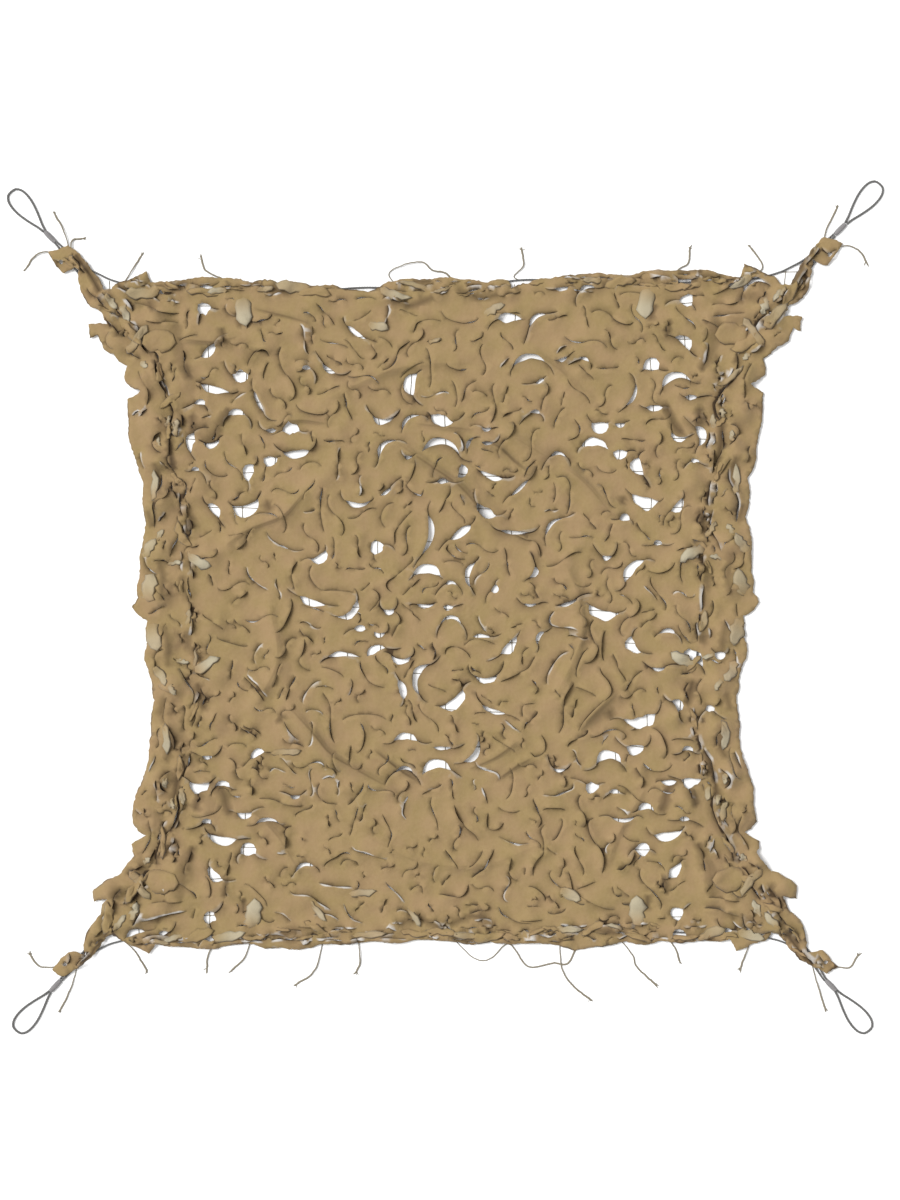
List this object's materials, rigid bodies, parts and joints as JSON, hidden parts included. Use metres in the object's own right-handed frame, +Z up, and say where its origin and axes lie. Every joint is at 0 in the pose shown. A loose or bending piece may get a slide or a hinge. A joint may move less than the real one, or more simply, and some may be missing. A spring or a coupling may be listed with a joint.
{
  "type": "camouflage netting",
  "caption": "Desert-tan incised camouflage cloth on a string net, with an edge rope along each side and a rope eye at each corner, laid flat.",
  "frame": {"origin": "on the ground under the middle of the net, at the middle of the box round everything but the corner loops", "axes": "+Z up off the ground, +Y towards the top edge, +X towards the right-hand edge"},
  "size_m": [2.1901, 2.1333, 0.0385],
  "materials": {
    "cloth": "matt woven polyester, incised",
    "net": "matt twisted string",
    "edge_rope": "matt laid rope",
    "loop": "matt laid rope",
    "whipping": "matt wound twine"
  },
  "bodies": {
    "root": {"cloth": "cloth", "net": "net", "rope_top": "edge_rope", "rope_right": "edge_rope", "rope_bottom": "edge_rope", "rope_left": "edge_rope", "loop_top_left": "loop", "loop_top_right": "loop", "loop_bottom_right": "loop", "loop_bottom_left": "loop", "whipping_top_left": "whipping", "whipping_top_right": "whipping", "whipping_bottom_right": "whipping", "whipping_bottom_left": "whipping"}
  },
  "joints": []
}
